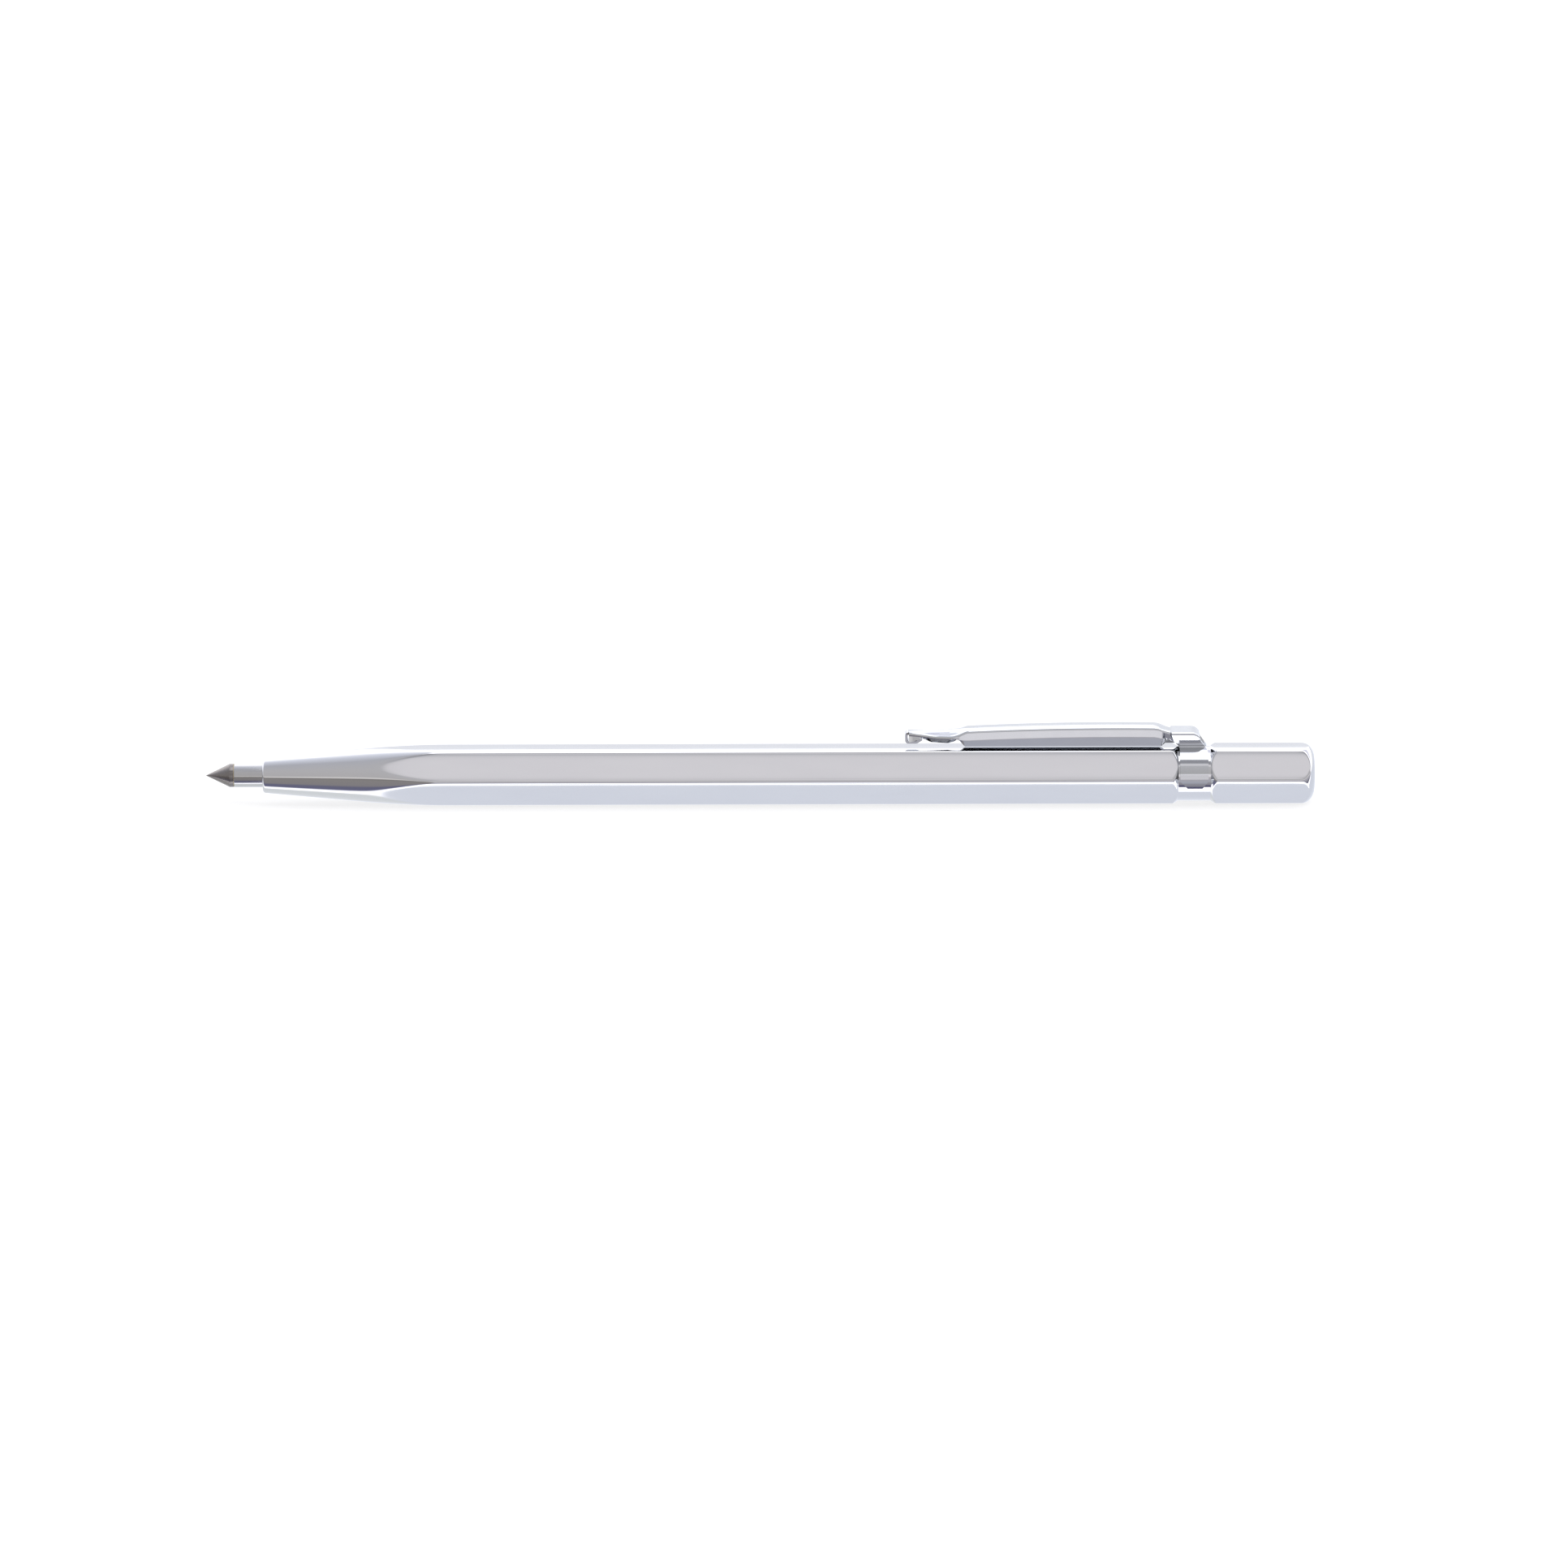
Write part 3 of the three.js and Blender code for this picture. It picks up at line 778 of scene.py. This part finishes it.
def between(table, x):
    """Reads a table of (x, value) pairs by straight lines."""
    if x <= table[0][0]:
        return table[0][1]
    for (x0, v0), (x1, v1) in zip(table, table[1:]):
        if x <= x1:
            return v0 + (v1 - v0) * (x - x0) / (x1 - x0)
    return table[-1][1]


def arm_height(x):
    """Height of the web's outer face, from the free end's plate to the strap's top."""
    top = ARM_CROWN_Z - (x - ARM_CROWN_X) ** 2 / (2 * ARM_CROWN_RADIUS)
    top += (STRAP_TOP_Z - top) * smooth(*DROP_X, x)
    plate = between(PLATE_CROWN, x)
    return plate + (top - plate) * smooth(*NECK_X, x)


def side_shares(middle):
    """Shares along one flat facet of the side, crowded at both ends so that its folds are crisp."""
    return [0.08, *middle, 0.92, 1]


def side_facet(start, across, up):
    """A flat facet of the side that goes on from start."""
    y, drop = start
    return [(y + across * s, drop + up * s) for s in side_shares([0.5])]


def plate_section(x):
    """Half of the free end's section: a flat arch with its edge bent over and pressed in."""
    half_width = between(PLATE_HALF_WIDTH, x)
    arch = between(PLATE_ARCH, x)
    web_end = half_width - PLATE_EDGE_RADIUS
    web = [(web_end * s, -arch * s**2) for s in WEB_SHARES]
    centre = -arch - PLATE_EDGE_RADIUS
    bend = arc(web_end, centre, PLATE_EDGE_RADIUS, 90, PLATE_BEND_END, BEND_STEPS)[1:]
    return web + bend + side_facet(bend[-1], *PLATE_FACET)


def channel_section():
    """Half of the arm's section: web, bend and the leaning shoulder down to the crease."""
    web = [(WEB_HALF_WIDTH * s, -WEB_CROWN * s * s) for s in WEB_SHARES]
    centre = -WEB_BEND_RADIUS - WEB_CROWN
    bend = arc(WEB_HALF_WIDTH, centre, WEB_BEND_RADIUS, 90, BEVEL_LEAN, BEND_STEPS)[1:]
    y, drop = bend[-1]
    bevel = math.radians(BEVEL_LEAN)
    bend[-1] = (y + BEVEL_WIDTH * math.sin(bevel), drop - BEVEL_WIDTH * math.cos(bevel))
    fall = -CREASE_DROP - bend[-1][1]
    reach = -fall * math.tan(math.radians(SHOULDER_LEAN))
    return web + bend + side_facet(bend[-1], reach, fall)


def recess_section():
    """Half of the root's section: the side is pressed in between the arm and the strap."""
    web_end = RECESS_HALF_WIDTH - PLATE_EDGE_RADIUS
    web = [(web_end * s, 0) for s in WEB_SHARES]
    bend = arc(web_end, -PLATE_EDGE_RADIUS, PLATE_EDGE_RADIUS, 90, RECESS_BEND_END, BEND_STEPS)[1:]
    return web + bend + side_facet(bend[-1], *RECESS_FACET)


def blended(first, second, share):
    return [
        (y0 + (y1 - y0) * share, d0 + (d1 - d0) * share)
        for (y0, d0), (y1, d1) in zip(first, second)
    ]


def side_section(x):
    """Half of the sheet's outer face at x, from the middle of the web to the side's cut edge."""
    section = blended(plate_section(x), channel_section(), smooth(*NECK_X, x))
    section = blended(section, recess_section(), smooth(*RECESS_X, x))
    height = arm_height(x)
    y, drop = section[-1]
    crease_z = height + drop
    bottom = min(between(SIDE_EDGE_Z, x), crease_z - LEAST_FLANGE)
    pressed = between(SIDE_PRESSED_IN, x)
    pressed += (y - RECESS_FOOT_HALF_WIDTH - pressed) * smooth(*RECESS_X, x)
    lower = [
        (y - pressed * s, drop + (bottom - crease_z) * s) for s in side_shares([0.36, 0.64])
    ]
    return section + lower


def strap_half():
    """Half of the strap's outer face from the end of its flat top to the tab: (y, z)."""
    hump = broken_corners(
        [
            (STRAP_WEB_HALF_WIDTH - 0.2, STRAP_TOP_Z, 0),
            (HUMP_HALF_WIDTH, STRAP_TOP_Z, HUMP_CORNER_RADIUS),
            *HUMP_WALL,
        ],
        steps=6,
    )[1:-1]
    front, corner = STRAP_FLAT_DEGREES
    round_front = arc(0, 0, STRAP_RADIUS, STRAP_START_DEGREES, front, 34)
    round_corner = arc(0, 0, STRAP_RADIUS, corner, STRAP_END_DEGREES, 14)
    (y0, z0), (y1, z1) = round_front[-1], round_corner[0]
    flat = [(y0 + (y1 - y0) * s, z0 + (z1 - z0) * s) for s in (0.06, 0.3, 0.7, 0.94)]
    return hump + round_front + flat + round_corner


def strap_edges(z, cut):
    """Where the strap's front and rear edges are at height z, with the tab's corners cut off."""
    front = STRAP_X[0] - STRAP_LEAN * smooth(*STRAP_FRONT_LEAN_Z, z)
    rear = STRAP_X[1] - STRAP_LEAN * smooth(*STRAP_REAR_LEAN_Z, z)
    return front + cut * STRAP_TAB_SLOPES[0], rear - cut * STRAP_TAB_SLOPES[1]


def strap_point(share, y, z, cut=0.0):
    """A point of the strap at a share of its width, with the hump's rear end rolled down."""
    front, rear = strap_edges(z, cut)
    into = max(STRAP_ROLL_REACH - (rear - front) * (1 - share), 0)
    roll = STRAP_ROLL_RADIUS - math.sqrt(STRAP_ROLL_RADIUS**2 - into**2)
    roll *= smooth(*STRAP_ROLL_Z, z)
    return front + (rear - front) * share, y * (1 - HUMP_NARROWING * roll), z - roll


def clip_sheet():
    """Points and faces of the clip's outer face.

    It is three patches that meet edge to edge: the web with the free end's curl, the arm's side,
    and the strap. The side's last rows are tucked in under the strap's top.
    """
    points, faces = [], []

    def add(x, y, z):
        points.append((TIP_X + x * MM, y * MM, AXIS_Z + z * MM))
        return len(points) - 1

    def both_sides(patch):
        """Adds a grid of (x, y, z) points and its mirror image."""
        for side in (1, -1):
            rows = [[add(x, side * y, z) for x, y, z in row] for row in patch]
            for here, after in zip(rows, rows[1:]):
                for k in range(len(here) - 1):
                    corners = (here[k], after[k], after[k + 1], here[k + 1])
                    faces.append(corners if side > 0 else corners[::-1])

    curl = broken_corners(
        [
            (90.45, 4.56, 0),
            (89.75, FOOT_Z, 0.6),
            (FREE_END_X, FOOT_Z, 0.4),
            (FREE_END_X, FREE_END_Z, 0.42),
            (CHEEK_X, FREE_END_Z, 0),
        ],
        steps=7,
    )[:-1]
    web = []
    for x, z in curl:
        width = between(PLATE_HALF_WIDTH, x) if z > 5 else FOOT_HALF_WIDTH
        web.append([(x, width * s, z) for s in WEB_SHARES])
    side = []
    steps = (
        spread(CHEEK_X, 94.4, 26)
        + spread(94.6, 96.8, 16)
        + spread(97.5, 120.2, 40)
        + spread(120.4, ROOT_X, 13)
    )
    for x in steps:
        height = arm_height(x)
        row = [(x, y, height + drop) for y, drop in side_section(x)]
        web.append(row[: WEB_COLUMNS + 1])
        side.append(row[WEB_COLUMNS:])
    tuck_z = STRAP_TOP_Z - SHEET - TUCK_GAP
    for x in (122.0, 122.3, 122.6):
        side.append([(x, min(y, TUCK_HALF_WIDTH), min(z, tuck_z)) for _, y, z in side[-1]])

    side_line = strap_half()
    from_end = [0.0]
    for (y0, z0), (y1, z1) in zip(side_line[::-1], side_line[-2::-1]):
        from_end.insert(0, from_end[0] + math.hypot(y1 - y0, z1 - z0))
    strap = []
    for share in spread(0, 1, STRAP_STATIONS):
        row = [strap_point(share, STRAP_WEB_HALF_WIDTH * s, STRAP_TOP_Z) for s in WEB_SHARES]
        web.append(row)
        cuts = [max(STRAP_TAB_CHAMFER - distance, 0) for distance in from_end]
        sides = [strap_point(share, y, z, cut) for (y, z), cut in zip(side_line, cuts)]
        strap.append([row[-1], *sides])
    for patch in (web, side, strap):
        both_sides(patch)
    return points, faces


def stamped_clip(name, finish):
    """The welded outer face, thickened inwards, with every cut edge a little rounded."""
    points, faces = clip_sheet()
    mesh = bpy.data.meshes.new(name)
    mesh.from_pydata(points, [], faces)
    mesh.polygons.foreach_set("use_smooth", [True] * len(faces))
    mesh.materials.append(finish)
    piece = bpy.data.objects.new(name, mesh)
    bpy.context.scene.collection.objects.link(piece)
    weld = piece.modifiers.new("weld", "WELD")
    weld.merge_threshold = 0.001 * MM
    solid = piece.modifiers.new("sheet", "SOLIDIFY")
    solid.thickness = SHEET * MM
    solid.offset = -1
    edge = piece.modifiers.new("tumbled edge", "BEVEL")
    edge.width = TUMBLED_EDGE * MM
    edge.segments = 3
    edge.limit_method = "ANGLE"
    edge.angle_limit = math.radians(50)
    edge.harden_normals = True
    return plain_mesh(piece)


def clip_plate():
    """Bright plating on stamped sheet: rolling lines along the arm, and a fine ripple."""
    material, nodes, place, shader = new_finish("clip_plate")
    rolled = grain(nodes, place, (5, 0.05, 0.05), 3.0)
    ripple = grain(nodes, place, (2.2, 1.4, 1.4), 2.0, (0.7, 0, 3))
    wear = grain(nodes, place, (1.2, 0.7, 0.7), 4.0, (5, 2, 0))
    tint = mix_colour(nodes, ripple, (0.57, 0.585, 0.612), (0.615, 0.628, 0.65))
    polish = 0.05 + rolled * 0.03 + wear * 0.05
    slow = relief(nodes, ripple, 0.0012)
    fine = relief(nodes, rolled, 0.00008, 1.0, slow)
    dress_metal(nodes, shader, tint, polish, fine)
    return material


clip = stamped_clip("pocket_clip", clip_plate())
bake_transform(clip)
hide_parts("clip_band", "clip_arm")

# ------------------------------------------------------------------------------------------------
# Studio. A pale table that glows and is left out of mirror reflections, and a sky in bands of
# light that run along the tool. The bands are set for the front, where they tell the flats apart.
# They are not an even light, and from above or behind some faces burn out to white.

TABLE_X = (-6, 6)
TABLE_Y = (-4, 8)
TABLE_GLOW = 0.74


def table_finish():
    material, nodes, place, shader = new_finish("pale_table")
    mottle = grain(nodes, place, (60, 60, 60), 2.0)
    tint = mix_colour(nodes, mottle, (0.30, 0.30, 0.30), (0.31, 0.31, 0.31))
    nodes.tree.links.new(tint.socket, shader.inputs["Base Color"])
    shader.inputs["Roughness"].default_value = 0.9
    shader.inputs["Specular IOR Level"].default_value = 0.0
    shader.inputs["Emission Color"].default_value = (1, 1, 1, 1)
    shader.inputs["Emission Strength"].default_value = TABLE_GLOW
    return material


(left, right), (near, far) = TABLE_X, TABLE_Y
table_mesh = bpy.data.meshes.new("table")
table_corners = [(left, near, 0), (right, near, 0), (right, far, 0), (left, far, 0)]
table_mesh.from_pydata(table_corners, [], [(0, 1, 2, 3)])
table_mesh.materials.append(table_finish())
card = bpy.data.objects.new("table", table_mesh)
bpy.context.scene.collection.objects.link(card)
card.visible_glossy = False

# Colour of the studio by angle round the tool's axis: 0 is level in front, 90 is overhead, 180 is
# level behind and -90 is straight down. The second table is for directions that lean towards the
# point's end, which only the tapered nose and the cone reflect from the front.
STUDIO_BANDS = [
    (-180, (1.05, 1.06, 1.12)),
    (-100, (0.95, 0.97, 1.03)),
    (-97, (2.1, 2.1, 2.15)),
    (-50, (2.1, 2.1, 2.15)),
    (-47, (0.10, 0.10, 0.20)),
    (-41, (0.12, 0.12, 0.22)),
    (-36, (0.38, 0.37, 0.42)),
    (-28, (0.44, 0.43, 0.47)),
    (-22, (0.58, 0.59, 0.66)),
    (-12, (0.62, 0.60, 0.64)),
    (-3, (0.68, 0.65, 0.67)),
    (-1, (1.10, 1.07, 1.10)),
    (8, (1.10, 1.07, 1.10)),
    (12, (0.62, 0.61, 0.61)),
    (41, (0.70, 0.69, 0.71)),
    (42.5, (1.00, 0.975, 1.00)),
    (47.5, (1.00, 0.975, 1.00)),
    (49, (0.72, 0.72, 0.75)),
    (52, (0.42, 0.42, 0.45)),
    (64, (0.45, 0.45, 0.49)),
    (68, (2.3, 2.3, 2.35)),
    (90, (2.3, 2.3, 2.35)),
    (93, (1.3, 1.3, 1.36)),
    (98, (2.3, 2.3, 2.35)),
    (106, (2.0, 2.0, 2.06)),
    (112, (1.05, 1.05, 1.2)),
    (126, (1.05, 1.05, 1.2)),
    (134, (1.8, 1.8, 1.86)),
    (176, (1.8, 1.8, 1.86)),
    (180, (1.05, 1.06, 1.12)),
]
STUDIO_BANDS_LEFT = [
    (-180, (1.05, 1.06, 1.12)),
    (-86, (0.98, 1.02, 1.03)),
    (-80, (1.1, 1.12, 1.12)),
    (-76, (2.0, 2.0, 2.1)),
    (-68, (2.0, 2.0, 2.1)),
    (-61, (0.20, 0.20, 0.32)),
    (-46, (0.20, 0.20, 0.30)),
    (-36, (0.34, 0.32, 0.33)),
    (-8, (0.36, 0.34, 0.33)),
    (-2, (0.28, 0.26, 0.25)),
    (2, (0.96, 0.93, 0.91)),
    (5, (0.96, 0.93, 0.91)),
    (8, (0.66, 0.64, 0.64)),
    (40, (0.68, 0.67, 0.68)),
    (75, (0.64, 0.65, 0.70)),
    (100, (0.92, 0.95, 1.06)),
    (112, (1.15, 1.18, 1.28)),
    (126, (1.9, 1.9, 1.95)),
    (165, (1.9, 1.9, 1.95)),
    (180, (1.05, 1.06, 1.12)),
]
BELOW = (1.00, 1.04, 1.14)
BELOW_EDGE = (-71.2, -71.8)
BEHIND = (1.04, 1.06, 1.12)
BEHIND_EDGE = (164.5, 164.9)
LEFT_EDGE = (-0.062, -0.10)
BRIGHTEST = 3.0

world = bpy.data.worlds.new("studio")
world.use_nodes = True
world.node_tree.nodes.clear()
sky = Nodes(world.node_tree)
direction = sky.value(sky.add("ShaderNodeTexCoord"), "Generated")
towards = sky.add("ShaderNodeSeparateXYZ", {}, {0: direction})
angle = sky.math("ARCTAN2", sky.value(towards, "Z"), 0 - sky.value(towards, "Y"))
leftwards = sky.add(
    "ShaderNodeMapRange",
    {"interpolation_type": "SMOOTHSTEP"},
    {"Value": sky.value(towards, "X"), "From Min": LEFT_EDGE[0], "From Max": LEFT_EDGE[1]},
)


def edge_of_band(start, end):
    """0 before the start angle and 1 after the end angle, for an edge too sharp for a ramp."""
    inputs = {"Value": angle, "From Min": math.radians(start), "From Max": math.radians(end)}
    return sky.value(sky.add("ShaderNodeMapRange", {}, inputs))


def laid_over(under, edge, shade):
    """One colour laid over what is beyond an edge."""
    inputs = {"Factor": edge_of_band(*edge), 6: under, 7: (*[c / BRIGHTEST for c in shade], 1)}
    return sky.value(sky.add("ShaderNodeMix", {"data_type": "RGBA"}, inputs), 2)


def studio_bands(bands):
    """A colour ramp over the whole turn, from 180 degrees below to 180 above."""
    stops = [((a + 180) / 360, [c / BRIGHTEST for c in shade]) for a, shade in bands]
    turn = angle / math.tau + 0.5
    return sky.value(sky.add("ShaderNodeValToRGB", {"stops": stops}, {"Fac": turn}))


middle = laid_over(studio_bands(STUDIO_BANDS), BELOW_EDGE, BELOW)
middle = laid_over(middle, BEHIND_EDGE, BEHIND)
studio = sky.add(
    "ShaderNodeMix",
    {"data_type": "RGBA"},
    {
        "Factor": sky.value(leftwards),
        6: middle,
        7: studio_bands(STUDIO_BANDS_LEFT),
    },
)
lit = sky.add("ShaderNodeBackground", {}, {"Color": sky.value(studio, 2), "Strength": BRIGHTEST})
sky.add("ShaderNodeOutputWorld", {}, {"Surface": sky.value(lit)})
bpy.context.scene.world = world

CAMERA_ELEVATION = math.radians(14.7)
CAMERA_DISTANCE = 1.1
CAMERA_LENS = 200
CAMERA_SENSOR = 36
AIM_RIGHT = 2.98 * MM
AIM_DOWN = 1.26 * MM
CAMERA_ROLL = math.radians(-0.143)
camera = bpy.data.cameras.new("camera")
camera.lens = CAMERA_LENS
camera.sensor_width = CAMERA_SENSOR
camera.clip_start = 0.01
camera.clip_end = 100
camera_body = bpy.data.objects.new("camera", camera)
back = Vector((0, -math.cos(CAMERA_ELEVATION), math.sin(CAMERA_ELEVATION)))
up = Vector((0, math.sin(CAMERA_ELEVATION), math.cos(CAMERA_ELEVATION)))
aim = Vector((AIM_RIGHT, 0, AXIS_Z)) - up * AIM_DOWN
camera_body.location = aim + back * CAMERA_DISTANCE
tilt = Matrix.Rotation(math.pi / 2 - CAMERA_ELEVATION, 3, "X")
camera_body.rotation_euler = (tilt @ Matrix.Rotation(CAMERA_ROLL, 3, "Z")).to_euler()
bpy.context.scene.collection.objects.link(camera_body)
bpy.context.scene.camera = camera_body
bpy.context.scene.view_settings.view_transform = "Standard"
